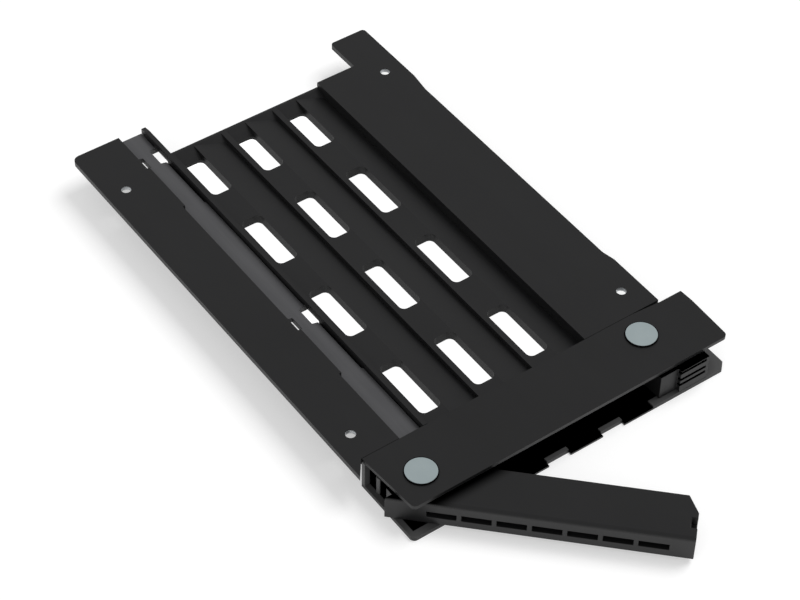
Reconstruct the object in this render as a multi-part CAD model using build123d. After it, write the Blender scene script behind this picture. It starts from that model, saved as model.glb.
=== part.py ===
from build123d import *
import os
from math import acos, asin, atan2, cos, degrees, sin, sqrt

# Hot swap drive caddy for a 2.5-inch drive, in millimetres.
# X runs across the caddy, Y from the bezel to the rear, Z up.
# The origin is the centre of the four drive holes, on the tray's top face.

# Drive hole pattern
HOLE_SPAN_X = 61.72
HOLE_SPAN_Y = 76.6
HOLE_BORE = 2.0
BUSHING_OUTER = 3.6
BUSHING_LIP = 0.2

# Tray, flanges
PLATE_T = 1.1
LEFT_MARGIN = 4.28
RIGHT_MARGIN = 4.19
REAR_MARGIN = 13.67
FRONT_MARGIN = 5.85
LEFT_FLANGE_W = 10.74
FLANGE_NOSE_L = 3.2
FLANGE_NOSE_GAP = 0.1
RIGHT_FLANGE_W = 17.6
REAR_CORNER_R = 1.5
TAB_W = 8.45
TAB_L = 8.6
TAB_CORNER_R = 0.8
EDGE_RELIEF = 0.58
RELIEF_REAR_GAP = 18.17
RELIEF_REAR_RUN = 4.6
RELIEF_FRONT_GAP = 13.1
RELIEF_FRONT_RUN = 2.8

# Tray, light pipe channel
CHANNEL_W = 5.23
CHANNEL_WALL = 0.9
CHANNEL_FLOOR_T = 0.75
CHANNEL_CHAMFER = 0.7
RIB_W = 0.92
RIB_REAR_DROP = 0.3
RIB_REAR_RUN = 1.6
LIP_W = 0.53
LIP_L = 13.2
STATION_PITCH = 53.2
STATION_REAR_GAP = 10.87
WINDOW_FRONT = 1.0
WINDOW_L = 4.3
WINDOW_STAGGER = 1.0
WINDOW_SPARE = 0.65
WINDOW_NEAR_W = 2.5
WINDOW_FAR_W = 1.03
WINDOW_RIB_CUT = 0.82

# Tray, stepped floor
FLOOR_DROP = 1.2
FLOOR_T = 2.0
FLOOR_FRONT_GAP = 0.65
COLUMNS = 3
COLUMN_PITCH = 12.18
COLUMN_START = 1.0
SLOT_W = 4.55
SLOT_CORNER_R = 1.2
ROWS = 4
ROW_PITCH = 23.07
ROW_START = 2.99
SLOT_L = 13.9
REAR_SLOT_L = 11.7
RISER_TO_SLOT = 1.18
SINK = 1.1
SINK_REAR_GAP = 0.6
SINK_REAR_RUN = 2.0
RAMP_DROP = 1.3

# Light pipe
PIPE_T = 1.1
PIPE_SIDE_GAP = 0.35
PIPE_RIGHT_GAP = 0.13
PIPE_NECK_GAP = 0.38
PIPE_REAR_GAP = 0.1
PIPE_WAIST_LEFT = 1.44
PIPE_WAIST_W = 2.26
PIPE_WAIST_RUN = 0.3
PIPE_PROUD = 1.35

# Bezel
BEZEL_H = 7.5
BEZEL_TOP_T = 0.75
BEZEL_LEFT = 32.53
BEZEL_LEFT_TAPER = 1.0
BEZEL_PAST_LATCH = 16.53
BEZEL_DEPTH = 14.25
BEZEL_CORNER_R = 1.0
BEZEL_RIGHT_TAPER = 0.27
BEZEL_SWELL = 0.14
BEZEL_SWELL_REAR = 3.5
BEZEL_WALL = 0.9
SEAM_OPEN = 0.5
SEAM_OPEN_FROM_RIGHT = 4.95
SEAM_OPEN_RUN = 6.5
BASE_T = 0.85
BASE_SIDE_INSET = 0.8
BASE_FRONT_LEDGE = 1.5
BASE_LEFT_SETBACK = 0.2
BASE_CORNER_CHAMFER = 1.3
SEAM = 0.09

# Bezel base, front edge
FINGER_PITCH = 12.35
FINGER_W = 4.95
FINGERS = 3
FINGER_START = 17.62
FINGER_SETBACK = 0.7
LEDGE_SINK = 0.45
LEDGE_DEPTH = 3.1
LEDGE_END_GAP = 17.7

# Lever, measured from its pivot with the lever shut along X
PIVOT_FROM_LEFT = 6.8
PIVOT_FROM_FRONT = 5.91
LEVER_OPEN_ANGLE = 45.0
LEVER_HUB_R = 5.52
LEVER_REAR = 3.84
LEVER_L = 48.6
LEVER_NOSE = 5.57
NOSE_CUT_DEPTH = 1.3
NOSE_CUT_FRONT = 0.91
NOSE_CUT_REAR = 1.35
TIP_CHAMFER_X = 1.93
TIP_CHAMFER_Y = 3.69
LEVER_EDGE_R = 0.8
LEVER_TOP_GAP = 0.35
LEVER_CLEAR = 0.1
VENT_COUNT = 7
VENT_PITCH = 6.17
VENT_L = 5.25
VENT_H = 1.38
VENT_DEPTH = 1.7
VENT_START = 1.93
VENT_Z = -4.15

# Latch catch in the lever's tip
CATCH_DEPTH = 1.15
CATCH_W = 2.24
CATCH_FROM_FRONT = 2.62
CATCH_H = 2.15
TOOTH_GAP = 0.2

# Pins, bush and washers
PIN_R = 1.5
GUIDE_PIN_R = 1.25
PIN_HEAD_R = 3.17
PIN_HEAD_H = 0.25
CAP_R = 2.98
CAP_T = 0.12
CAP_PROUD = 0.05
FIT = 0.01
RUNNING_FIT = 0.05
BUSH_WALL = 0.65
WASHER_R = 2.8
WASHER_SEAT = 0.3
WASHER_PLAY = 0.02
RING_R = 2.6
RING_T = 0.4
RING_SEAT = 0.5

# Lever spring
SPRING_WIRE_R = 0.25
SPRING_R = 3.6
SPRING_WHOLE_TURNS = 3
SPRING_PITCH = 0.58
SPRING_WELL_R = 4.3
SPRING_WELL_H = 2.7
SPRING_WELL_INNER_R = 2.9
SPRING_FIXED_LEG = 6.0
SPRING_MOVING_LEG = 5.0
SPRING_MOVING_LEG_ANGLE = 300.0
ANCHOR_GAP = 0.1
JOIN = 0.15
ANCHOR_X = 5.07
ANCHOR_Y = 4.89
ANCHOR_R = 0.85
ANCHOR_DROP = 1.8

# Latch slider
GUIDE_FROM_LATCH = 3.24
GUIDE_FROM_FRONT = 9.16
LATCH_TRAVEL = 1.6
LATCH_GAP = 0.6
LATCH_CLEAR = 0.25
LATCH_BLOCK_W = 4.05
LATCH_FRONT = 0.6
LATCH_REAR = 2.9
LATCH_BODY_W = 7.55
GRIP_W = 6.8
GRIP_FRONT = 0.85
GRIP_DEPTH = 6.85
GROOVE_HEIGHTS = (1.9, 3.25, 5.0)
GROOVE_H = 0.6
GROOVE_DEPTH = 0.8
GROOVE_MARGIN = 0.7

# Latch spring
LATCH_SPRING_R = 1.25
LATCH_SPRING_TURNS = 6
LATCH_SPRING_WIRE_R = 0.2
LATCH_SPRING_WELL = 2.0
STOP_X = 3.8
STOP_T = 1.0
STOP_W = 6.2
SPIGOT_R = 0.85
SPIGOT_L = 1.0

# Screws: ears join the bezel to the tray, bosses join its base to its housing
SCREW_R = 1.0
SCREW_L = 4.0
SCREW_HEAD_R = 1.9
SCREW_HEAD_H = 0.75
SCREW_SOCKET_R = 0.6
SCREW_SOCKET_DEPTH = 0.6
BOSS_R = 2.1
PILOT_SPARE = 0.3
EAR_X = (-28.6, 20.5, 27.5)
EAR_FROM_SEAM = 2.7
EAR_T = 1.5
EAR_R = 2.4
BASE_BOSS_X = (-14.0, 3.0, 17.0)
BASE_BOSS_FROM_SEAM = 2.1
BASE_BOSS_R = 1.9

# Places that follow from the sizes above
x_left = -HOLE_SPAN_X / 2 - LEFT_MARGIN
x_right = HOLE_SPAN_X / 2 + RIGHT_MARGIN
y_rear = HOLE_SPAN_Y / 2 + REAR_MARGIN
y_seam = -HOLE_SPAN_Y / 2 - FRONT_MARGIN
x_channel = x_left + LEFT_FLANGE_W
x_rib = x_channel + CHANNEL_W
x_floor = x_rib + RIB_W
x_flange = x_right - RIGHT_FLANGE_W
x_tab = x_right - TAB_W
y_floor_rear = y_rear - TAB_L
y_floor_front = y_seam + FLOOR_FRONT_GAP
z_floor = -FLOOR_DROP
z_under = -FLOOR_DROP - FLOOR_T
z_channel = z_under + CHANNEL_FLOOR_T

z_top_under = -BEZEL_TOP_T
z_base = -BEZEL_H + BASE_T
y_front = y_seam - BEZEL_DEPTH
y_wall = y_seam - BEZEL_WALL
y_base_front = y_front - BASE_FRONT_LEDGE
pivot = (-BEZEL_LEFT + PIVOT_FROM_LEFT, y_front + PIVOT_FROM_FRONT)
z_lever_top = z_top_under - LEVER_TOP_GAP
z_lever_under = z_base + LEVER_CLEAR
x_latch = pivot[0] + LEVER_L + LATCH_GAP
x_bezel_right = x_latch + BEZEL_PAST_LATCH
guide = (x_latch + GUIDE_FROM_LATCH, y_front + GUIDE_FROM_FRONT)
x_grip = x_latch + LATCH_BLOCK_W
x_latch_body = x_latch + LATCH_BODY_W
x_stop = x_bezel_right - STOP_X
y_ear = y_seam + EAR_FROM_SEAM
y_boss = y_seam - BASE_BOSS_FROM_SEAM
z_ear = z_under - SEAM
anchor = (pivot[0] - ANCHOR_X, pivot[1] + ANCHOR_Y)


def block(x0, x1, y0, y1, z0, z1):
    """A box from its lowest corner to its highest."""
    middle = Pos((x0 + x1) / 2, (y0 + y1) / 2, (z0 + z1) / 2)
    return middle * Box(x1 - x0, y1 - y0, z1 - z0)


def round_bar(x, y, z0, z1, radius):
    """An upright cylinder."""
    return Pos(x, y, (z0 + z1) / 2) * Cylinder(radius, z1 - z0)


def ring(x, y, z0, z1, outer, inner):
    """An upright tube."""
    return round_bar(x, y, z0, z1, outer) - round_bar(x, y, z0, z1, inner)


def plate(points, z0, z1, rounds=()):
    """A flat plate from its outline. Each entry of rounds is a corner's number and its radius."""
    outline = make_face(Polyline(*points, close=True))
    for number, radius in rounds:
        x, y = points[number]
        corner = outline.vertices().sort_by_distance((x, y, 0))[0]
        outline = fillet(corner, radius)
    return Pos(0, 0, z0) * extrude(outline, amount=z1 - z0, dir=(0, 0, 1))


def prism_along_y(points, y0, y1):
    """A bar of constant section, the section given as points in X and Z."""
    section = make_face(Polyline(*[(x, y0, z) for x, z in points], close=True))
    return extrude(section, amount=y1 - y0, dir=(0, 1, 0))


def prism_along_x(points, x0, x1):
    """A bar of constant section, the section given as points in Y and Z."""
    section = make_face(Polyline(*[(x0, y, z) for y, z in points], close=True))
    return extrude(section, amount=x1 - x0, dir=(1, 0, 0))


def drive_holes():
    """The plan positions of the four drive holes."""
    half_x = HOLE_SPAN_X / 2
    half_y = HOLE_SPAN_Y / 2
    return [(x, y) for x in (-half_x, half_x) for y in (-half_y, half_y)]


def stations():
    """Where each light pipe station's rear window ends, counted along Y."""
    return [y_rear - STATION_REAR_GAP - STATION_PITCH * n for n in range(2)]


def left_flange():
    """The plain left flange. Its front corner runs to a point beside the bezel's left end."""
    points = [
        (x_left, y_seam - FLANGE_NOSE_L),
        (-BEZEL_LEFT - FLANGE_NOSE_GAP, y_seam + SEAM),
        (x_channel, y_seam + SEAM),
        (x_channel, y_rear),
        (x_left, y_rear),
    ]
    flange = plate(points, -PLATE_T, 0, rounds=[(4, REAR_CORNER_R)])
    for y in stations():
        flange += block(x_channel, x_channel + LIP_W, y - LIP_L, y, -PLATE_T, 0)
    return flange


def right_flange():
    y_relief = y_rear - RELIEF_REAR_GAP
    y_relief_front = y_seam + RELIEF_FRONT_GAP
    points = [
        (x_flange, y_seam + SEAM),
        (x_right, y_seam + SEAM),
        (x_right, y_relief_front),
        (x_right - EDGE_RELIEF, y_relief_front + RELIEF_FRONT_RUN),
        (x_right - EDGE_RELIEF, y_relief - RELIEF_REAR_RUN),
        (x_right, y_relief),
        (x_right, y_rear),
        (x_tab, y_rear),
        (x_tab, y_floor_rear),
        (x_flange, y_floor_rear),
    ]
    return plate(points, -PLATE_T, 0, rounds=[(6, TAB_CORNER_R), (7, TAB_CORNER_R)])


def channel():
    """The trough that holds the light pipe, with the rib along its right side."""
    x_outer = x_channel - CHANNEL_WALL
    trough = block(x_outer, x_channel, y_floor_front, y_rear - REAR_CORNER_R, z_under, 0)
    trough += block(x_outer, x_floor, y_floor_front, y_rear - REAR_CORNER_R, z_under, z_channel)
    rib_side = [
        (y_seam + SEAM, z_under),
        (y_rear, z_under),
        (y_rear, -RIB_REAR_DROP),
        (y_rear - RIB_REAR_RUN, 0),
        (y_seam + SEAM, 0),
    ]
    trough += prism_along_x(rib_side, x_rib, x_floor)
    for y in stations():
        front = y + WINDOW_FRONT
        far = front + WINDOW_L + WINDOW_SPARE
        near = far - WINDOW_STAGGER
        trough -= block(x_channel, x_channel + WINDOW_NEAR_W, front, near, z_under, z_channel)
        trough -= block(x_rib - WINDOW_FAR_W, x_rib + WINDOW_RIB_CUT, front, far, z_under, z_floor)
    return trough


def columns():
    """For each column of slots: the slot's left edge, and the riser at the column's right side."""
    places = []
    for n in range(COLUMNS):
        slot = x_floor + COLUMN_START + COLUMN_PITCH * n
        riser = slot + COLUMN_PITCH - RISER_TO_SLOT
        if n == COLUMNS - 1:
            riser = x_flange
        places.append((slot, riser))
    return places


def sink(x0, riser):
    """The wedge cut out of the floor from a slot's right edge to the foot of the riser."""
    foot = z_floor - SINK
    side = [(x0, z_floor), (riser, foot), (riser, z_floor)]
    y_end = y_floor_rear - SINK_REAR_GAP
    wedge = prism_along_y(side, y_floor_front, y_end)
    slope = [
        (y_floor_front, foot),
        (y_end - SINK_REAR_RUN, foot),
        (y_end, z_floor),
        (y_floor_front, z_floor),
    ]
    return wedge & prism_along_x(slope, x0, riser)


def slot_rows():
    """For each row of slots: where it starts along Y, and its length."""
    rows = []
    for n in range(ROWS):
        length = REAR_SLOT_L if n == ROWS - 1 else SLOT_L
        rows.append((y_seam + ROW_START + ROW_PITCH * n, length))
    return rows


def stepped_floor():
    floor = block(x_floor, x_flange, y_floor_front, y_floor_rear, z_under, z_floor)
    floor += block(x_flange, x_flange + CHANNEL_WALL, y_floor_front, y_floor_rear, z_under, 0)
    y_last, last_length = slot_rows()[-1]
    y_ramp = y_floor_rear - SINK_REAR_GAP
    for x, riser in columns():
        floor -= sink(x + SLOT_W, riser)
        ramp = [
            (y_last + last_length / 2, z_floor),
            (y_last + last_length / 2, z_floor - RAMP_DROP),
            (y_last + last_length, z_floor - RAMP_DROP),
            (y_ramp, z_floor),
        ]
        floor -= prism_along_x(ramp, x, x + SLOT_W)
        for y, length in slot_rows():
            opening = RectangleRounded(SLOT_W, length, SLOT_CORNER_R)
            opening = Pos(x + SLOT_W / 2, y + length / 2, z_under) * opening
            floor -= extrude(opening, amount=FLOOR_T, dir=(0, 0, 1))
    return floor


def tray():
    body = left_flange() + channel() + stepped_floor() + right_flange()
    for x, y in drive_holes():
        body -= round_bar(x, y, -PLATE_T, 0, HOLE_BORE / 2)
        body -= round_bar(x, y, -PLATE_T, -BUSHING_LIP, BUSHING_OUTER / 2)
    for x in EAR_X:
        body += round_bar(x, y_ear, z_under, -PLATE_T, BOSS_R)
        tip = z_ear - EAR_T + SCREW_L + PILOT_SPARE
        body -= round_bar(x, y_ear, z_under, tip, SCREW_R + FIT)
    return body


def drive_screw_bushings():
    outer = BUSHING_OUTER / 2 - FIT
    inner = HOLE_BORE / 2
    return [ring(x, y, -PLATE_T, -BUSHING_LIP, outer, inner) for x, y in drive_holes()]


def light_pipe():
    left = x_channel + PIPE_SIDE_GAP
    right = x_rib - PIPE_RIGHT_GAP
    neck = x_rib - PIPE_NECK_GAP
    waist_left = x_channel + PIPE_WAIST_LEFT
    waist_right = waist_left + PIPE_WAIST_W
    rear = y_rear - PIPE_REAR_GAP
    front = y_wall - SEAM
    left_side = []
    right_side = []
    for y in stations():
        notch = y + WINDOW_FRONT
        far = notch + WINDOW_L
        near = far - WINDOW_STAGGER
        right_side += [
            (right, far + PIPE_WAIST_RUN),
            (waist_right, far),
            (waist_right, notch),
            (neck, notch - PIPE_WAIST_RUN),
            (neck, y - LIP_L),
            (right, y - LIP_L - PIPE_WAIST_RUN),
        ]
        left_side += [
            (left, near + PIPE_WAIST_RUN),
            (waist_left, near),
            (waist_left, notch),
            (left, notch - PIPE_WAIST_RUN),
        ]
    points = [(left, rear), (right, rear)] + right_side + [(right, front), (left, front)] + left_side[::-1]
    return plate(points, -PIPE_PROUD - PIPE_T, -PIPE_PROUD)


def seam_line(x_end, inset=0):
    """The bezel's rear edge from left to right. It leaves the tray a little towards the right end."""
    x_open = x_bezel_right - SEAM_OPEN_FROM_RIGHT
    return [
        (-BEZEL_LEFT, y_seam - inset),
        (x_open - SEAM_OPEN_RUN, y_seam - inset),
        (x_open, y_seam - SEAM_OPEN - inset),
        (x_end, y_seam - SEAM_OPEN - inset),
    ]


def bezel_housing():
    """The top plate, the wall behind it, the ears under the tray and the latch spring's stop."""
    top = seam_line(x_bezel_right) + [
        (x_bezel_right + BEZEL_SWELL, y_seam - BEZEL_SWELL_REAR),
        (x_bezel_right - BEZEL_RIGHT_TAPER, y_front),
        (-BEZEL_LEFT + BEZEL_LEFT_TAPER, y_front),
    ]
    body = plate(top, z_top_under, 0, rounds=[(5, BEZEL_CORNER_R), (6, BEZEL_CORNER_R)])
    x_wall_end = x_bezel_right - BASE_SIDE_INSET
    wall = seam_line(x_wall_end) + seam_line(x_wall_end, BEZEL_WALL)[::-1]
    body += plate(wall, z_base, z_top_under)
    body -= block(x_channel, x_rib, y_wall, y_seam, z_channel, -PIPE_PROUD + LEVER_CLEAR)
    body += block(x_stop, x_stop + STOP_T, y_wall - STOP_W, y_wall, z_base, z_top_under)
    z_spring = (z_top_under + z_base) / 2
    spigot = Rot(0, 90, 0) * Cylinder(SPIGOT_R, SPIGOT_L)
    body += Pos(x_stop - SPIGOT_L / 2, guide[1], z_spring) * spigot
    for x in EAR_X:
        body += block(x - EAR_R, x + EAR_R, y_wall, y_ear, z_ear - EAR_T, z_ear)
        body += round_bar(x, y_ear, z_ear - EAR_T, z_ear, EAR_R)
        body -= screw_hole(x, y_ear, z_ear - EAR_T, EAR_T)
    for x in BASE_BOSS_X:
        body += round_bar(x, y_boss, z_base, z_top_under, BASE_BOSS_R)
        body -= round_bar(x, y_boss, z_base, -BEZEL_H + SCREW_L + PILOT_SPARE, SCREW_R + FIT)
    body -= round_bar(*pivot, z_top_under, 0, PIN_R + FIT)
    body -= round_bar(*guide, z_top_under, 0, GUIDE_PIN_R + FIT)
    return body


def bezel_base():
    """The bottom plate, with its fingers along the front edge and a sunk ledge between them."""
    x0 = -BEZEL_LEFT
    x1 = x_bezel_right - BASE_SIDE_INSET
    cut = BASE_CORNER_CHAMFER
    points = seam_line(x1) + [
        (x1, y_base_front + cut),
        (x1 - cut, y_base_front),
        (x0, y_base_front + BASE_LEFT_SETBACK),
    ]
    body = plate(points, -BEZEL_H, z_base, rounds=[(6, BEZEL_CORNER_R)])
    ledge_start = x0 + FINGER_START - FINGER_PITCH + FINGER_W
    ledge_end = x1 - LEDGE_END_GAP
    y_ledge = y_base_front + LEDGE_DEPTH
    ledge = block(ledge_start, ledge_end, y_base_front, y_ledge, z_base - LEDGE_SINK, z_base)
    for n in range(FINGERS):
        x = x0 + FINGER_START + FINGER_PITCH * n
        edge = y_base_front + BASE_LEFT_SETBACK * (x1 - x) / (x1 - x0)
        ledge -= block(x, x + FINGER_W, y_base_front, y_ledge, z_base - LEDGE_SINK, z_base)
        body -= block(x, x + FINGER_W, y_base_front, edge + FINGER_SETBACK, -BEZEL_H, z_base)
    body -= ledge
    for x in BASE_BOSS_X:
        body -= screw_hole(x, y_boss, -BEZEL_H, BASE_T)
    for place, radius in ((pivot, PIN_R), (guide, GUIDE_PIN_R)):
        body -= round_bar(*place, -BEZEL_H, z_base, radius + FIT)
        body -= round_bar(*place, -BEZEL_H, -BEZEL_H + RING_SEAT, RING_R + RUNNING_FIT)
    body -= round_bar(*anchor, -BEZEL_H + BASE_T / 2, z_base, ANCHOR_R + FIT)
    return body


def edge_waste(x0, x1, y, z, radius):
    """What is cut off a top front edge along X to round it."""
    corner = block(x0, x1, y, y + radius, z - radius, z)
    bar = Rot(0, 90, 0) * Cylinder(radius, x1 - x0)
    return corner - Pos((x0 + x1) / 2, y + radius, z - radius) * bar


def lever_outline():
    """The lever seen from above, shut along X, with its pivot at the origin."""
    rear_x = -sqrt(LEVER_HUB_R**2 - LEVER_REAR**2)
    half_turn = asin(LEVER_REAR / LEVER_HUB_R) / 2
    turn = (rear_x, LEVER_REAR)
    bend = (-LEVER_HUB_R * cos(half_turn), LEVER_HUB_R * sin(half_turn))
    side = (-LEVER_HUB_R, 0)
    front = -PIVOT_FROM_FRONT
    cut_y = front + NOSE_CUT_FRONT
    straight = Polyline(
        turn,
        (LEVER_L - TIP_CHAMFER_X, LEVER_REAR),
        (LEVER_L, LEVER_REAR - TIP_CHAMFER_Y),
        (LEVER_L, front),
        (-LEVER_NOSE, front),
        (-LEVER_NOSE + NOSE_CUT_DEPTH, cut_y),
        (-LEVER_HUB_R, cut_y + NOSE_CUT_REAR),
        side,
    )
    return make_face(straight + ThreePointArc(side, bend, turn))


def open_lever(shape):
    """Carries a shape from the shut lever's own place to the lever's place at rest."""
    return Pos(pivot[0], pivot[1], 0) * Rot(0, 0, -LEVER_OPEN_ANGLE) * shape


def lever():
    height = z_lever_top - z_lever_under
    body = Pos(0, 0, z_lever_under) * extrude(lever_outline(), amount=height, dir=(0, 0, 1))
    front = -PIVOT_FROM_FRONT
    body -= edge_waste(-LEVER_NOSE, LEVER_L, front, z_lever_top, LEVER_EDGE_R)
    for n in range(VENT_COUNT):
        x = VENT_START + VENT_PITCH * n
        body -= block(x, x + VENT_L, front, front + VENT_DEPTH, VENT_Z - VENT_H / 2, VENT_Z + VENT_H / 2)
    catch_front = front + CATCH_FROM_FRONT
    body -= block(LEVER_L - CATCH_DEPTH, LEVER_L, catch_front, catch_front + CATCH_W,
                  z_lever_top - CATCH_H, z_lever_top)
    body -= round_bar(0, 0, z_lever_under, z_lever_top, PIN_R + RUNNING_FIT + BUSH_WALL)
    body -= round_bar(0, 0, z_lever_top - WASHER_SEAT, z_lever_top, WASHER_R + RUNNING_FIT)
    body -= round_bar(0, 0, z_lever_under, z_lever_under + WASHER_SEAT, WASHER_R + RUNNING_FIT)
    well_top = z_lever_under + SPRING_WELL_H
    body -= ring(0, 0, z_lever_under, well_top, SPRING_WELL_R, SPRING_WELL_INNER_R)
    wall_reach = LEVER_HUB_R * 1.3
    sweep_cut = ring(0, 0, z_lever_under, z_lever_under + 4 * SPRING_WIRE_R, wall_reach, SPRING_WELL_R - FIT)
    sweep_cut &= block(-wall_reach, -LEVER_HUB_R / 2, -SPRING_R, wall_reach, z_lever_under, z_lever_top)
    body -= sweep_cut
    body -= leg_slot(well_top)
    return open_lever(body)


def leg_slot(well_top):
    """The slot that takes the spring's moving leg, beside the spring's well."""
    half = 2 * SPRING_WIRE_R
    reach = SPRING_MOVING_LEG + half
    slot = block(SPRING_R - half, SPRING_R + half, 0, reach, well_top - 2 * half, well_top)
    return Rot(0, 0, SPRING_MOVING_LEG_ANGLE) * slot


def lever_bush():
    top = z_lever_top - WASHER_SEAT
    under = z_lever_under + WASHER_SEAT
    outer = PIN_R + RUNNING_FIT + BUSH_WALL - FIT
    return ring(*pivot, under, top, outer, PIN_R + RUNNING_FIT)


def lever_washer_top():
    under = z_lever_top - WASHER_SEAT
    return ring(*pivot, under, z_top_under - WASHER_PLAY, WASHER_R, PIN_R + RUNNING_FIT)


def lever_washer_bottom():
    top = z_lever_under + WASHER_SEAT
    return ring(*pivot, z_base + WASHER_PLAY, top, WASHER_R, PIN_R + RUNNING_FIT)


def coil(radius, pitch, turns, wire_r):
    """A helical coil along Z from the origin, starting on the X axis."""
    path = Helix(pitch=pitch, height=pitch * turns, radius=radius)
    section = Plane(origin=path @ 0, z_dir=path % 0) * Circle(wire_r)
    return sweep(section, path=path)


def leg(x, y0, y1, z):
    """A straight end of the spring's wire, along Y, a little thinner than the wire so that they join."""
    return Pos(x, (y0 + y1) / 2, z) * Rot(90, 0, 0) * Cylinder(SPRING_WIRE_R * 0.97, y1 - y0)


def lever_spring():
    """A torsion coil round the lever's bush. One leg lies by the anchor post, the other in the lever."""
    to_anchor = atan2(ANCHOR_Y, -ANCHOR_X)
    leg_line = SPRING_R + SPRING_WIRE_R + ANCHOR_R + ANCHOR_GAP
    start = degrees(to_anchor + acos(leg_line / sqrt(ANCHOR_X**2 + ANCHOR_Y**2)))
    end = SPRING_MOVING_LEG_ANGLE - LEVER_OPEN_ANGLE
    turns = SPRING_WHOLE_TURNS + (end - start) / 360
    wire = coil(SPRING_R, SPRING_PITCH, turns, SPRING_WIRE_R)
    wire += leg(SPRING_R, -SPRING_FIXED_LEG, JOIN, 0)
    wire += Rot(0, 0, end - start) * leg(SPRING_R, -JOIN, SPRING_MOVING_LEG, SPRING_PITCH * turns)
    return Pos(pivot[0], pivot[1], z_lever_under + 2 * SPRING_WIRE_R) * Rot(0, 0, start) * wire


def spring_anchor():
    return round_bar(*anchor, -BEZEL_H + BASE_T / 2, z_top_under - ANCHOR_DROP, ANCHOR_R)


def headed_pin(place, radius):
    """A pin with a round head on the top plate. The head has a shallow seat for its cap."""
    body = round_bar(*place, -BEZEL_H + LEVER_CLEAR, 0, radius)
    body += round_bar(*place, 0, PIN_HEAD_H, PIN_HEAD_R)
    seat = PIN_HEAD_H - (CAP_T - CAP_PROUD)
    return body - round_bar(*place, seat, PIN_HEAD_H, CAP_R + FIT)


def pin_cap(place):
    top = PIN_HEAD_H + CAP_PROUD
    return round_bar(*place, top - CAP_T, top, CAP_R)


def pin_ring(place, radius):
    """The retaining ring pressed on a pin's lower end, sunk in the base."""
    top = -BEZEL_H + RING_SEAT
    return ring(*place, top - RING_T, top, RING_R, radius + FIT)


def latch_slider():
    """The sliding catch: its tooth holds the lever shut, and its ridged grip is pushed to the right."""
    top = z_top_under - LATCH_CLEAR
    under = z_lever_under
    y_block = y_front - LATCH_FRONT
    y_rear_face = guide[1] + LATCH_REAR
    body = block(x_latch, x_latch_body, y_block, y_rear_face, under, top)
    y_grip = y_block - GRIP_FRONT
    x_grip_end = x_grip + GRIP_W
    body += block(x_grip, x_grip_end, y_grip, y_grip + GRIP_DEPTH, under, top)
    for height in GROOVE_HEIGHTS:
        z = under + height - GROOVE_H / 2
        body -= block(x_grip, x_grip_end - GROOVE_MARGIN, y_grip, y_grip + GROOVE_DEPTH,
                      z, z + GROOVE_H)
    slot = round_bar(*guide, under, top, GUIDE_PIN_R + RUNNING_FIT)
    slot += round_bar(guide[0] - LATCH_TRAVEL, guide[1], under, top, GUIDE_PIN_R + RUNNING_FIT)
    half = GUIDE_PIN_R + RUNNING_FIT
    slot += block(guide[0] - LATCH_TRAVEL, guide[0], guide[1] - half, guide[1] + half, under, top)
    body -= slot
    z_spring = (z_top_under + z_base) / 2
    well = Rot(0, 90, 0) * Cylinder(LATCH_SPRING_R + 2 * LATCH_SPRING_WIRE_R, LATCH_SPRING_WELL)
    body -= Pos(x_latch_body - LATCH_SPRING_WELL / 2, guide[1], z_spring) * well
    body += latch_tooth()
    return body


def latch_tooth():
    """The tooth on the slider's left side, bevelled in front so that the closing lever pushes it aside."""
    reach = CATCH_DEPTH + LATCH_GAP - TOOTH_GAP
    y0 = pivot[1] - PIVOT_FROM_FRONT + CATCH_FROM_FRONT + TOOTH_GAP
    y1 = y0 + CATCH_W - 2 * TOOTH_GAP
    points = [
        (x_latch, y0),
        (x_latch - reach, y0 + reach / 2),
        (x_latch - reach, y1),
        (x_latch, y1),
    ]
    return plate(points, z_lever_top - CATCH_H + TOOTH_GAP, z_lever_top)


def latch_spring():
    z_spring = (z_top_under + z_base) / 2
    start = x_latch_body - LATCH_SPRING_WELL + LATCH_SPRING_WIRE_R
    length = x_stop - LATCH_SPRING_WIRE_R - start
    turns = LATCH_SPRING_TURNS
    wire = coil(LATCH_SPRING_R, length / turns, turns, LATCH_SPRING_WIRE_R)
    return Pos(start, guide[1], z_spring) * Rot(0, 90, 0) * wire


def screw_profile(grow):
    """A countersunk screw's outline of revolution, head down at the origin, grown by a clearance."""
    return make_face(Polyline(
        (0, 0, 0),
        (SCREW_HEAD_R + grow, 0, 0),
        (SCREW_R + grow, 0, SCREW_HEAD_H),
        (SCREW_R + grow, 0, SCREW_L),
        (0, 0, SCREW_L),
        close=True,
    ))


def screw_hole(x, y, z, thickness):
    """A countersunk hole through a plate whose underside is at z."""
    cutter = revolve(screw_profile(FIT), axis=Axis.Z)
    return Pos(x, y, z) * (cutter & round_bar(0, 0, 0, thickness, 2 * SCREW_HEAD_R))


def screw(x, y, z):
    body = revolve(screw_profile(0), axis=Axis.Z)
    socket = extrude(RegularPolygon(SCREW_SOCKET_R, 6), amount=SCREW_SOCKET_DEPTH, dir=(0, 0, 1))
    return Pos(x, y, z) * (body - socket)


def bezel_screws():
    screws = [screw(x, y_ear, z_ear - EAR_T) for x in EAR_X]
    screws += [screw(x, y_boss, -BEZEL_H) for x in BASE_BOSS_X]
    return screws


def write(name, shape):
    """Writes one node: a single solid, or a group of separate solids."""
    if isinstance(shape, list):
        shape = Compound(children=shape)
    shape.label = name
    export_step(shape, "parts/" + name + ".step")


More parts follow.
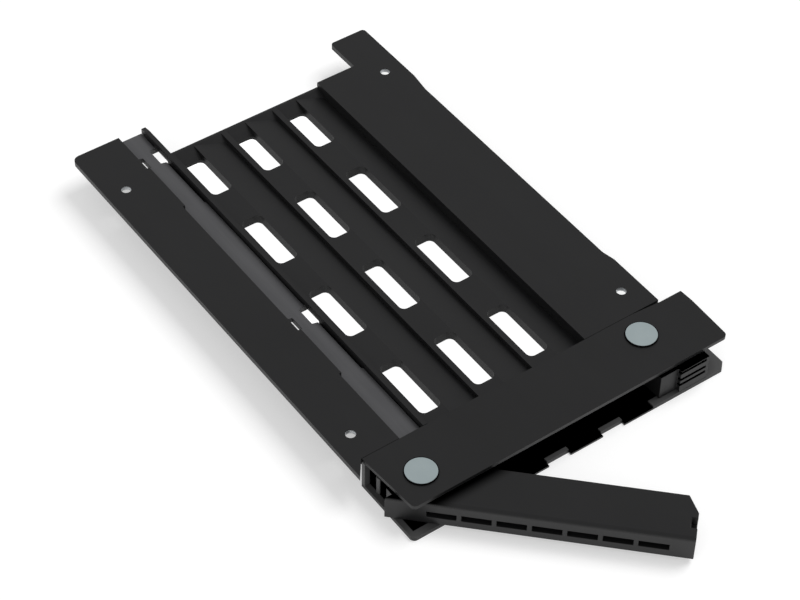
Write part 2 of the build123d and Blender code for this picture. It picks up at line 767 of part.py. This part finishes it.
os.makedirs("parts", exist_ok=True)
write("tray", tray())
write("drive_screw_bushings", drive_screw_bushings())
write("light_pipe", light_pipe())
write("bezel_housing", bezel_housing())
write("bezel_base", bezel_base())
write("lever", lever())
write("lever_bush", lever_bush())
write("lever_washer_top", lever_washer_top())
write("lever_washer_bottom", lever_washer_bottom())
write("lever_spring", lever_spring())
write("spring_anchor", spring_anchor())
write("lever_pivot_pin", headed_pin(pivot, PIN_R))
write("lever_pivot_cap", pin_cap(pivot))
write("lever_pivot_ring", pin_ring(pivot, PIN_R))
write("latch_slider", latch_slider())
write("latch_spring", latch_spring())
write("latch_guide_pin", headed_pin(guide, GUIDE_PIN_R))
write("latch_guide_cap", pin_cap(guide))
write("latch_guide_ring", pin_ring(guide, GUIDE_PIN_R))
write("bezel_screws", bezel_screws())
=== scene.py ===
from math import cos, radians, sin

import bmesh
import bpy
from mathutils import Matrix, Vector

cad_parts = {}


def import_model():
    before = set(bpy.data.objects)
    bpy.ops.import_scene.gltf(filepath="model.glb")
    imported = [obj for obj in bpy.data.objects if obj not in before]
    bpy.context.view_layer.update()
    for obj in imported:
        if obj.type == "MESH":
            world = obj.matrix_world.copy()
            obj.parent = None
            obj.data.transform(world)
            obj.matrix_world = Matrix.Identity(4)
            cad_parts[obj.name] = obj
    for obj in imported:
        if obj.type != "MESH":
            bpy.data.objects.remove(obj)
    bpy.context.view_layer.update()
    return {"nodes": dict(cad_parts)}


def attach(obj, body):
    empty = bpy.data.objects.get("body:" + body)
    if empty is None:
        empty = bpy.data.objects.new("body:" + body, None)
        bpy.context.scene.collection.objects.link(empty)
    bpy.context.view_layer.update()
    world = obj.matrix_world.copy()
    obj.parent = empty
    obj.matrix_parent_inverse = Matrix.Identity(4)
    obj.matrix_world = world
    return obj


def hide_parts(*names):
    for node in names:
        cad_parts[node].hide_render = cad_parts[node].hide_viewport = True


# A hot swap drive caddy: its slotted tray, its bezel with the swing-out lever, and its sliding latch.
# Sizes written in millimetres are multiplied by MM. Everything else is in metres.

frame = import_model()
MM = 0.001
scene = bpy.context.scene

# Sizes shared with the caddy's solids, in millimetres
HOLE_SPAN_X = 61.72
HOLE_SPAN_Y = 76.6
BUSHING_OUTER_R = 1.79
BUSHING_BORE_R = 1.0
BUSHING_TOP = -0.2
PLATE_T = 1.1
BEZEL_H = 7.5
PIVOT_X = -25.73
PIVOT_Y = -52.49
LEVER_OPEN_ANGLE = 45.0
LEVER_FRONT = 5.91
VENT_COUNT = 7
VENT_PITCH = 6.17
VENT_L = 5.25
VENT_H = 1.38
VENT_DEPTH = 1.7
VENT_START = 1.93
VENT_Z = -4.15
BEZEL_FRONT_Y = -58.4
BASE_FRONT_Y = -59.9
BEZEL_LEFT_X = -32.53
BASE_LIT_X = 35.2
BASE_TOP_Z = -6.65
TOP_PLATE_UNDER = ("Z", -0.7, -0.8)
LEFT_MARGIN = 1.1
FRONT_MARGIN = 1.7
# How far out from the bezel the painted shadow on the lever's top reaches
LEVER_PAINTED_SHADOW_L = 3.2
# The dark sheets of painted shade at the backs of the lever's vents
SHADE_SHEET_T = 0.12
SHADE_SHEET_PLAY = 0.04
BUSHING_EDGE_R = 0.1
FLOOR_GAP = 0.02

# Tones
PLAIN_GLOSS = 0.5
SCUFFS = 0.35
# Grey added to the bezel's margins as painted light
MARGIN_PAINTED_LIGHT = 0.09
SKY_LIGHT = 0.44
FLOOR_GREY = 0.62
FLOOR_SEEN = 0.44
# Painted light: the floor's brightness to the camera under the tray, over the tray's shadow
FLOOR_PAINTED_LIGHT_UNDER_TRAY = 1.0
FLOOR_IN_GLOSS = 0.42

# The camera's fitted place in millimetres, its turn in degrees, and its lens
CAMERA_PLACE = (-188.74, -267.37, 321.66)
CAMERA_AZIMUTH = -36.289
CAMERA_ELEVATION = 45.954
CAMERA_ROLL = -1.017
CAMERA_LENS = 108.09
CAMERA_SHIFT_Y = 0.25 / 800


# Building blocks for materials


def new_finish(name):
    """A material with its own Principled shader, and the Object coordinates that its patterns read."""
    finish = bpy.data.materials.new(name)
    finish.use_nodes = True
    tree = finish.node_tree
    shader = tree.nodes["Principled BSDF"]
    place = tree.nodes.new("ShaderNodeTexCoord").outputs["Object"]
    return finish, tree, shader, place


def stretched(tree, place, along):
    """The same coordinates, scaled by a different amount along each axis."""
    mapping = tree.nodes.new("ShaderNodeMapping")
    mapping.inputs["Scale"].default_value = along
    tree.links.new(place, mapping.inputs["Vector"])
    return mapping.outputs["Vector"]


def noise(tree, place, size_mm, detail=2.0, roughness=0.5):
    """Noise whose lumps are about size_mm across."""
    node = tree.nodes.new("ShaderNodeTexNoise")
    node.inputs["Scale"].default_value = 1 / (size_mm * MM)
    node.inputs["Detail"].default_value = detail
    node.inputs["Roughness"].default_value = roughness
    tree.links.new(place, node.inputs["Vector"])
    return node.outputs["Fac"]


def between(tree, value, low, high, start=0.3, end=0.7):
    """Spreads a pattern's value from start..end to low..high."""
    node = tree.nodes.new("ShaderNodeMapRange")
    node.inputs["From Min"].default_value = start
    node.inputs["From Max"].default_value = end
    node.inputs["To Min"].default_value = low
    node.inputs["To Max"].default_value = high
    tree.links.new(value, node.inputs["Value"])
    return node.outputs["Result"]


def blend(tree, factor, first, second):
    """Mixes two colours by a factor."""
    node = tree.nodes.new("ShaderNodeMix")
    node.data_type = "RGBA"
    node.inputs["A"].default_value = (*first, 1)
    node.inputs["B"].default_value = (*second, 1)
    tree.links.new(factor, node.inputs["Factor"])
    return node.outputs["Result"]


def total(tree, first, second, share):
    """first plus share times second."""
    node = tree.nodes.new("ShaderNodeMath")
    node.operation = "MULTIPLY_ADD"
    tree.links.new(second, node.inputs[0])
    node.inputs[1].default_value = share
    tree.links.new(first, node.inputs[2])
    return node.outputs["Value"]


def product(tree, first, second):
    """first times second."""
    node = tree.nodes.new("ShaderNodeMath")
    node.operation = "MULTIPLY"
    tree.links.new(first, node.inputs[0])
    tree.links.new(second, node.inputs[1])
    return node.outputs["Value"]


def ramp(tree, place, axis, outside_mm, inside_mm):
    """0 on the outside of a plane across an axis, rising smoothly to 1 inside it."""
    axes = tree.nodes.new("ShaderNodeSeparateXYZ")
    tree.links.new(place, axes.inputs["Vector"])
    step = between(tree, axes.outputs[axis], 0, 1, outside_mm * MM, inside_mm * MM)
    step.node.interpolation_type = "SMOOTHSTEP"
    return step


def zone(tree, place, ramps):
    """The product of some ramps: 1 inside a box with soft sides."""
    value = None
    for axis, outside_mm, inside_mm in ramps:
        step = ramp(tree, place, axis, outside_mm, inside_mm)
        value = step if value is None else product(tree, value, step)
    return value


def facing_up(tree):
    """1 on faces that look up, falling smoothly to 0 on faces that stand."""
    axes = tree.nodes.new("ShaderNodeSeparateXYZ")
    tree.links.new(tree.nodes.new("ShaderNodeNewGeometry").outputs["Normal"], axes.inputs["Vector"])
    return between(tree, axes.outputs["Z"], 0, 1, 0.4, 0.6)


def paint_shade(tree, shader, share):
    """Paints shade: takes colour and gloss from a surface where share is 1."""
    keep = between(tree, share, 1, 0, 0, 1)
    colour = shader.inputs["Base Color"].links[0].from_socket
    dark = tree.nodes.new("ShaderNodeVectorMath")
    dark.operation = "SCALE"
    tree.links.new(colour, dark.inputs["Vector"])
    tree.links.new(keep, dark.inputs["Scale"])
    tree.links.new(dark.outputs["Vector"], shader.inputs["Base Color"])
    tree.links.new(between(tree, share, PLAIN_GLOSS, 0, 0, 1), shader.inputs["Specular IOR Level"])


def add_painted_light(tree, shader, share, grey):
    """Paints light: adds grey to the surface's colour where share is 1."""
    colour = shader.inputs["Base Color"].links[0].from_socket
    node = tree.nodes.new("ShaderNodeVectorMath")
    node.operation = "MULTIPLY_ADD"
    tree.links.new(share, node.inputs[0])
    node.inputs[1].default_value = (grey, grey, grey)
    tree.links.new(colour, node.inputs[2])
    tree.links.new(node.outputs["Vector"], shader.inputs["Base Color"])


def bumped(tree, shader, height, depth_mm, strength):
    """Gives the surface a relief."""
    node = tree.nodes.new("ShaderNodeBump")
    node.inputs["Distance"].default_value = depth_mm * MM
    node.inputs["Strength"].default_value = strength
    tree.links.new(height, node.inputs["Height"])
    tree.links.new(node.outputs["Normal"], shader.inputs["Normal"])


def moulded_plastic(name, dark, light, gloss_low, gloss_high, grain_mm=0.35, ior=1.47):
    """Black moulded plastic: spark-eroded grain, faint flow marks and rubbed places."""
    finish, tree, shader, place = new_finish(name)
    clouds = noise(tree, place, 22, 3)
    flow = noise(tree, stretched(tree, place, (1, 0.12, 1)), 5, 3)
    mottle = total(tree, clouds, flow, 0.35)
    colour = blend(tree, between(tree, mottle, 0, 1, 0.45, 0.9), dark, light)
    tree.links.new(colour, shader.inputs["Base Color"])
    rubbed = noise(tree, stretched(tree, place, (1, 0.35, 1)), 3, 5, 0.65)
    rubbed_places = between(tree, rubbed, 0, 0.1, 0.55, 0.75)
    rough = total(tree, between(tree, clouds, gloss_low, gloss_high), rubbed_places, SCUFFS)
    tree.links.new(rough, shader.inputs["Roughness"])
    grain = total(tree, noise(tree, place, grain_mm, 2, 0.6), noise(tree, place, grain_mm * 5, 2), 0.5)
    bumped(tree, shader, grain, 0.02, 0.22)
    shader.inputs["IOR"].default_value = ior
    return finish


def smoke_plastic(name, dark, light):
    """The light pipe's smoke grey plastic, with drawn-out flow lines along it."""
    finish, tree, shader, place = new_finish(name)
    lines = noise(tree, stretched(tree, place, (1, 0.06, 1)), 1.4, 3)
    clouds = noise(tree, place, 14, 2)
    colour = blend(tree, between(tree, total(tree, lines, clouds, 0.6), 0, 1, 0.6, 1.0), dark, light)
    tree.links.new(colour, shader.inputs["Base Color"])
    tree.links.new(between(tree, clouds, 0.3, 0.42), shader.inputs["Roughness"])
    bumped(tree, shader, lines, 0.02, 0.1)
    shader.inputs["IOR"].default_value = 1.5
    return finish


def metal(name, dark, light, metallic, gloss_low, gloss_high, line_mm, along):
    """Worked metal: fine tool lines along one way, and slow changes of tone."""
    finish, tree, shader, place = new_finish(name)
    lines = noise(tree, stretched(tree, place, along), line_mm, 3, 0.6)
    clouds = noise(tree, place, 4, 2)
    colour = blend(tree, between(tree, total(tree, clouds, lines, 0.4), 0, 1, 0.45, 0.95), dark, light)
    tree.links.new(colour, shader.inputs["Base Color"])
    tree.links.new(between(tree, lines, gloss_low, gloss_high), shader.inputs["Roughness"])
    bumped(tree, shader, lines, 0.01, 0.15)
    shader.inputs["Metallic"].default_value = metallic
    return finish


def flat_dark(name, colour):
    """A matt black that gives nothing back: the pins' own black, and the painted shade of the sheets at the
    vents' backs.
    """
    finish, tree, shader, place = new_finish(name)
    fibre = noise(tree, place, 0.3, 2)
    tree.links.new(blend(tree, fibre, (0, 0, 0), colour), shader.inputs["Base Color"])
    tree.links.new(between(tree, fibre, 0.9, 1.0), shader.inputs["Roughness"])
    shader.inputs["Specular IOR Level"].default_value = 0.05
    return finish


TRAY_DARK, TRAY_LIGHT = (0.0075, 0.0075, 0.008), (0.0105, 0.0105, 0.011)
BEZEL_DARK, BEZEL_LIGHT = (0.0075, 0.0075, 0.0078), (0.01, 0.01, 0.0105)
LATCH_DARK, LATCH_LIGHT = (0.006, 0.006, 0.0062), (0.009, 0.009, 0.0093)
CAP_DARK, CAP_LIGHT = (0.3, 0.355, 0.365), (0.33, 0.385, 0.395)
STEEL_DARK, STEEL_LIGHT = (0.5, 0.52, 0.54), (0.6, 0.62, 0.63)
WIRE_DARK, WIRE_LIGHT = (0.42, 0.42, 0.43), (0.52, 0.52, 0.53)
OXIDE_DARK, OXIDE_LIGHT = (0.012, 0.012, 0.013), (0.02, 0.02, 0.021)
BRASS_DARK, BRASS_LIGHT = (0.55, 0.38, 0.15), (0.68, 0.48, 0.2)
WASHER_DARK, WASHER_LIGHT = (0.6, 0.59, 0.55), (0.68, 0.67, 0.63)

tray_black = moulded_plastic("tray_black", TRAY_DARK, TRAY_LIGHT, 0.42, 0.5)
bezel_black = moulded_plastic("bezel_black", BEZEL_DARK, BEZEL_LIGHT, 0.42, 0.5, 0.3)
lever_black = moulded_plastic("lever_black", BEZEL_DARK, BEZEL_LIGHT, 0.4, 0.48, 0.3)
latch_black = moulded_plastic("latch_black", LATCH_DARK, LATCH_LIGHT, 0.4, 0.5, 0.3, ior=1.4)
pipe_smoke = smoke_plastic("pipe_smoke", (0.064, 0.064, 0.068), (0.078, 0.078, 0.082))
cap_grey = metal("cap_grey", CAP_DARK, CAP_LIGHT, 0.15, 0.5, 0.6, 0.25, (1, 0.1, 1))
bushing_steel = metal("bushing_steel", STEEL_DARK, STEEL_LIGHT, 0.85, 0.3, 0.42, 0.2, (1, 1, 0.1))
spring_steel = metal("spring_steel", WIRE_DARK, WIRE_LIGHT, 1.0, 0.25, 0.38, 0.15, (1, 1, 0.3))
black_oxide = metal("black_oxide", OXIDE_DARK, OXIDE_LIGHT, 0.5, 0.35, 0.5, 0.2, (1, 1, 1))
bush_brass = metal("bush_brass", BRASS_DARK, BRASS_LIGHT, 1.0, 0.28, 0.4, 0.2, (1, 1, 0.1))
washer_white = moulded_plastic("washer_white", WASHER_DARK, WASHER_LIGHT, 0.45, 0.55)
# Painted shade for the backs of the lever's vents
vent_painted_shade = flat_dark("vent_painted_shade", (0.002, 0.002, 0.002))
pin_black = flat_dark("pin_black", (0.006, 0.006, 0.006))


def paint_shade_in_bezel():
    """Painted shade: the bezel's inside and the tops of its sunk ledge are drawn black, without gloss, for
    the shade under the top plate. Painted light: the surfaces between the base's top and the top plate's
    underside are drawn lighter, so the margins outside the painted shade read as lit.
    """
    tree = bezel_black.node_tree
    shader = tree.nodes["Principled BSDF"]
    place = tree.nodes["Texture Coordinate"].outputs["Object"]
    left = BEZEL_LEFT_X + LEFT_MARGIN
    front = BASE_FRONT_Y + FRONT_MARGIN
    inside = (
        ("X", left - 0.1, left + 0.1),
        ("X", BASE_LIT_X + 0.1, BASE_LIT_X - 0.1),
        ("Y", front - 0.1, front + 0.1),
        TOP_PLATE_UNDER,
    )
    ledge = (("X", -22.5, -22.4), ("X", 23.5, 22.5), ("Z", BASE_TOP_Z - 0.03, BASE_TOP_Z - 0.07))
    painted_lit_margins = (TOP_PLATE_UNDER, ("Z", BASE_TOP_Z - 0.03, BASE_TOP_Z + 0.02))
    # Painted light: the surfaces between the base's top and the top plate's underside are drawn lighter.
    add_painted_light(tree, shader, zone(tree, place, painted_lit_margins), MARGIN_PAINTED_LIGHT)
    # Painted shade: the inside and the tops of the sunk ledge are drawn black, without gloss.
    shaded_ledge_tops = product(tree, facing_up(tree), zone(tree, place, ledge))
    paint_shade(tree, shader, total(tree, zone(tree, place, inside), shaded_ledge_tops, 1))


def paint_bezel_shadow_on_lever():
    """Painted shadow: the lever's top is drawn black, without gloss, under the bezel and a little way out
    from there, where the bezel's top plate shades it.
    """
    tree = lever_black.node_tree
    shader = tree.nodes["Principled BSDF"]
    place = tree.nodes["Texture Coordinate"].outputs["Object"]
    under_bezel = ("Y", BEZEL_FRONT_Y - LEVER_PAINTED_SHADOW_L, BEZEL_FRONT_Y - 0.2)
    paint_shade(tree, shader, zone(tree, place, (under_bezel, ("Z", -1.6, -1.3))))


def paint_shade_on_latch_top():
    """Painted shade: the latch's top is drawn black, without gloss, for the shade under the bezel's top
    plate.
    """
    tree = latch_black.node_tree
    paint_shade(tree, tree.nodes["Principled BSDF"], facing_up(tree))


paint_shade_in_bezel()
paint_bezel_shadow_on_lever()
paint_shade_on_latch_top()


# Building blocks for pieces


def show(name, mesh, finish, body):
    """Puts a finished mesh in the scene as a piece that rides on a body."""
    mesh.materials.clear()
    mesh.materials.append(finish)
    piece = bpy.data.objects.new(name, mesh)
    scene.collection.objects.link(piece)
    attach(piece, body)
    return piece


def settled(host):
    """The plain mesh that a host object gives with its modifiers, after which the host is removed."""
    bpy.context.view_layer.update()
    graph = bpy.context.evaluated_depsgraph_get()
    mesh = bpy.data.meshes.new_from_object(host.evaluated_get(graph), depsgraph=graph)
    bpy.data.objects.remove(host)
    return mesh


def eased(node, radius_mm, finish, body):
    """A copy of a CAD node with small flats on its sharp edges. It stands for the node."""
    mesh = frame["nodes"][node].data.copy()
    mesh.transform(Matrix.Scale(1 / MM, 4))
    solid = bmesh.new()
    solid.from_mesh(mesh)
    bmesh.ops.remove_doubles(solid, verts=solid.verts, dist=0.0005)
    for face in solid.faces:
        face.smooth = True
    solid.to_mesh(mesh)
    solid.free()
    host = bpy.data.objects.new(node + "_host", mesh)
    scene.collection.objects.link(host)
    bevel = host.modifiers.new("edge", "BEVEL")
    bevel.width = radius_mm
    bevel.segments = 1
    bevel.limit_method = "ANGLE"
    bevel.angle_limit = radians(40)
    bevel.use_clamp_overlap = False
    even = host.modifiers.new("even", "WEIGHTED_NORMAL")
    even.weight = 100
    result = settled(host)
    normals = [corner.vector.copy() for corner in result.corner_normals]
    result.transform(Matrix.Scale(MM, 4))
    result.normals_split_custom_set(normals)
    piece = show(node + "_piece", result, finish, body)
    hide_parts(node)
    return piece


def dress(node, finish):
    """Gives a CAD node that stays as it is its finish."""
    piece = frame["nodes"][node]
    piece.data.materials.clear()
    piece.data.materials.append(finish)


class Tree:
    """A Geometry Nodes tree, built one node at a time."""

    def __init__(self, name, inputs):
        self.group = bpy.data.node_groups.new(name, "GeometryNodeTree")
        self.sockets = {}
        for label, kind in inputs:
            socket = self.group.interface.new_socket(label, in_out="INPUT", socket_type=kind)
            self.sockets[label] = socket.identifier
        self.group.interface.new_socket("Geometry", in_out="OUTPUT", socket_type="NodeSocketGeometry")
        self.entry = self.group.nodes.new("NodeGroupInput")

    def node(self, kind, **inputs):
        """Adds a node. An input is a number, the name of an input of the tree, or another node's output."""
        made = self.group.nodes.new(kind)
        for key, value in inputs.items():
            socket = made.inputs[key.replace("_", " ")]
            if isinstance(value, bpy.types.NodeSocket):
                self.group.links.new(value, socket)
            elif isinstance(value, str):
                self.group.links.new(self.entry.outputs[value], socket)
            else:
                socket.default_value = value
        return made.outputs[0]

    def end(self, geometry, finish):
        """Closes the tree: instances are made real and take their material."""
        real = self.node("GeometryNodeRealizeInstances", Geometry=geometry)
        dressed = self.node("GeometryNodeSetMaterial", Geometry=real)
        self.group.nodes[-1].inputs["Material"].default_value = finish
        self.group.links.new(dressed, self.group.nodes.new("NodeGroupOutput").inputs[0])

    def mesh(self, values):
        """The mesh that the tree makes from these values for its named inputs."""
        host = bpy.data.objects.new(self.group.name + "_host", bpy.data.meshes.new(self.group.name))
        scene.collection.objects.link(host)
        modifier = host.modifiers.new(self.group.name, "NODES")
        modifier.node_group = self.group
        for label, value in values.items():
            modifier[self.sockets[label]] = value
        return settled(host)


NUMBER = "NodeSocketFloat"
WHOLE = "NodeSocketInt"
TRIPLE = "NodeSocketVector"


def bushing_tree():
    """Four turned bushings, one at each corner of the drive hole pattern."""
    tree = Tree("drive_bushings", [
        ("Span X", NUMBER), ("Span Y", NUMBER), ("Middle radius", NUMBER), ("Wall", NUMBER),
        ("Height", NUMBER), ("Edge radius", NUMBER), ("Centre", TRIPLE),
    ])
    wall = tree.node("GeometryNodeCurvePrimitiveQuadrilateral", Width="Wall", Height="Height")
    wall = tree.node("GeometryNodeFilletCurve", Curve=wall, Radius="Edge radius")
    hoop = tree.node("GeometryNodeCurvePrimitiveCircle", Radius="Middle radius", Resolution=64)
    ring = tree.node("GeometryNodeCurveToMesh", Curve=hoop)
    tree.group.links.new(wall, tree.group.nodes[-1].inputs["Profile Curve"])
    corners = tree.node("GeometryNodeMeshGrid", Size_X="Span X", Size_Y="Span Y", Vertices_X=2, Vertices_Y=2)
    set_of_four = tree.node("GeometryNodeInstanceOnPoints", Points=corners, Instance=ring)
    placed = tree.node("GeometryNodeTransform", Geometry=set_of_four, Translation="Centre")
    tree.end(placed, bushing_steel)
    return tree


def vent_tree():
    """Dark sheets at the backs of the lever's vents, in a row along the lever: painted shade for the vents'
    depths.
    """
    tree = Tree("painted_vent_shades", [
        ("Count", WHOLE), ("Pitch", TRIPLE), ("First", TRIPLE), ("Size", TRIPLE),
        ("Turn", TRIPLE), ("Pivot", TRIPLE),
    ])
    row = tree.node("GeometryNodeMeshLine", Count="Count", Offset="Pitch")
    tree.group.links.new(tree.entry.outputs["First"], tree.group.nodes[-1].inputs["Start Location"])
    shade_sheet = tree.node("GeometryNodeMeshCube", Size="Size")
    shade_sheets = tree.node("GeometryNodeInstanceOnPoints", Points=row, Instance=shade_sheet)
    placed = tree.node("GeometryNodeTransform", Geometry=shade_sheets, Rotation="Turn", Translation="Pivot")
    tree.end(placed, vent_painted_shade)
    return tree


def bushings():
    wall = BUSHING_OUTER_R - BUSHING_BORE_R
    height = PLATE_T + BUSHING_TOP
    mesh = bushing_tree().mesh({
        "Span X": HOLE_SPAN_X * MM,
        "Span Y": HOLE_SPAN_Y * MM,
        "Middle radius": (BUSHING_OUTER_R - wall / 2) * MM,
        "Wall": wall * MM,
        "Height": height * MM,
        "Edge radius": BUSHING_EDGE_R * MM,
        "Centre": (0, 0, (BUSHING_TOP - height / 2) * MM),
    })
    piece = show("drive_bushings", mesh, bushing_steel, "carrier")
    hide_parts("drive_screw_bushings")


def painted_vent_shades():
    depth = -LEVER_FRONT + VENT_DEPTH - SHADE_SHEET_T
    mesh = vent_tree().mesh({
        "Count": VENT_COUNT,
        "Pitch": (VENT_PITCH * MM, 0, 0),
        "First": ((VENT_START + VENT_L / 2) * MM, depth * MM, VENT_Z * MM),
        "Size": ((VENT_L - SHADE_SHEET_PLAY) * MM, SHADE_SHEET_T * MM, (VENT_H - SHADE_SHEET_PLAY) * MM),
        "Turn": (0, 0, -radians(LEVER_OPEN_ANGLE)),
        "Pivot": (PIVOT_X * MM, PIVOT_Y * MM, 0),
    })
    show("painted_vent_shades", mesh, vent_painted_shade, "lever")


# The caddy

dress("tray", tray_black)
dress("bezel_housing", bezel_black)
dress("bezel_base", bezel_black)
eased("lever", 0.12, lever_black, "lever")
eased("latch_slider", 0.08, latch_black, "latch")
eased("light_pipe", 0.08, pipe_smoke, "carrier")
eased("spring_anchor", 0.12, bezel_black, "carrier")
bushings()
painted_vent_shades()
dress("lever_pivot_cap", cap_grey)
dress("latch_guide_cap", cap_grey)
dress("lever_pivot_pin", pin_black)
dress("latch_guide_pin", pin_black)
dress("lever_pivot_ring", spring_steel)
dress("latch_guide_ring", spring_steel)
dress("bezel_screws", black_oxide)
dress("lever_spring", spring_steel)
dress("latch_spring", spring_steel)
dress("lever_bush", bush_brass)
dress("lever_washer_top", washer_white)
dress("lever_washer_bottom", washer_white)


# Floor, light and camera


def painted_light_under_tray(tree, place):
    """1 on the floor under the tray's slots, falling to 0 just inside the tray's edges: where the floor is
    painted white to the camera over the tray's shadow.
    """
    return zone(tree, place, (("X", -24, -16), ("X", 33, 24), ("Y", -46, -40), ("Y", 50, 44)))


def floor():
    """A plain pale floor that shows white to the camera and keeps the caddy's shadow, except under the
    tray's slots, where painted light covers the tray's shadow.
    """
    finish, tree, shader, place = new_finish("pale_floor")
    rays = tree.nodes.new("ShaderNodeLightPath")
    inside = painted_light_under_tray(tree, place)
    glow = between(tree, inside, FLOOR_SEEN, FLOOR_PAINTED_LIGHT_UNDER_TRAY, 0, 1)
    seen = product(tree, rays.outputs["Is Camera Ray"], glow)
    lift = total(tree, seen, rays.outputs["Is Glossy Ray"], FLOOR_IN_GLOSS)
    shader.inputs["Base Color"].default_value = (FLOOR_GREY, FLOOR_GREY, FLOOR_GREY, 1)
    shader.inputs["Roughness"].default_value = 1
    shader.inputs["Specular IOR Level"].default_value = 0
    shader.inputs["Emission Color"].default_value = (1, 1, 1, 1)
    tree.links.new(lift, shader.inputs["Emission Strength"])
    bpy.ops.mesh.primitive_plane_add(size=12, location=(0, 0, (-BEZEL_H - FLOOR_GAP) * MM))
    plane = bpy.context.object
    plane.name = "floor"
    plane.data.materials.append(finish)


def world():
    """Soft grey light from all round, and white where the camera sees past the floor."""
    sky = bpy.data.worlds.new("studio")
    sky.use_nodes = True
    scene.world = sky
    tree = sky.node_tree
    ground = tree.nodes["Background"]
    ground.inputs["Color"].default_value = (1, 1, 1, 1)
    rays = tree.nodes.new("ShaderNodeLightPath")
    strength = between(tree, rays.outputs["Is Camera Ray"], SKY_LIGHT, 1, 0, 1)
    tree.links.new(strength, ground.inputs["Strength"])


def lamp(name, place, size, power):
    """A square area lamp aimed at the caddy."""
    light = bpy.data.lights.new(name, "AREA")
    light.shape = "SQUARE"
    light.size = size
    light.energy = power
    holder = bpy.data.objects.new(name, light)
    scene.collection.objects.link(holder)
    holder.location = place
    holder.visible_glossy = False
    holder.rotation_euler = (-Vector(place)).to_track_quat("-Z", "Y").to_euler()


floor()
world()
lamp("key", (1.25, -0.1, 2.0), size=1.3, power=36)
lamp("fill", (-1.8, -1.0, 1.2), size=1.6, power=10)


def camera():
    """The camera that took the photograph, from its fitted place, turn and focal length."""
    azimuth, elevation, roll = radians(CAMERA_AZIMUTH), radians(CAMERA_ELEVATION), radians(CAMERA_ROLL)
    back = Vector((sin(azimuth) * cos(elevation), -cos(azimuth) * cos(elevation), sin(elevation)))
    right = (-back).cross(Vector((0, 0, 1))).normalized()
    up = right.cross(-back)
    side = cos(roll) * right - sin(roll) * up
    top = sin(roll) * right + cos(roll) * up
    lens = bpy.data.cameras.new("photo_view")
    lens.sensor_width = 36
    lens.lens = CAMERA_LENS
    lens.shift_y = CAMERA_SHIFT_Y
    lens.clip_start = 0.01
    lens.clip_end = 50
    holder = bpy.data.objects.new("photo_view", lens)
    scene.collection.objects.link(holder)
    turn = Matrix((side, top, back)).transposed().to_4x4()
    holder.matrix_world = Matrix.Translation(Vector(CAMERA_PLACE) * MM) @ turn
    scene.camera = holder


camera()
scene.view_settings.view_transform = "Standard"
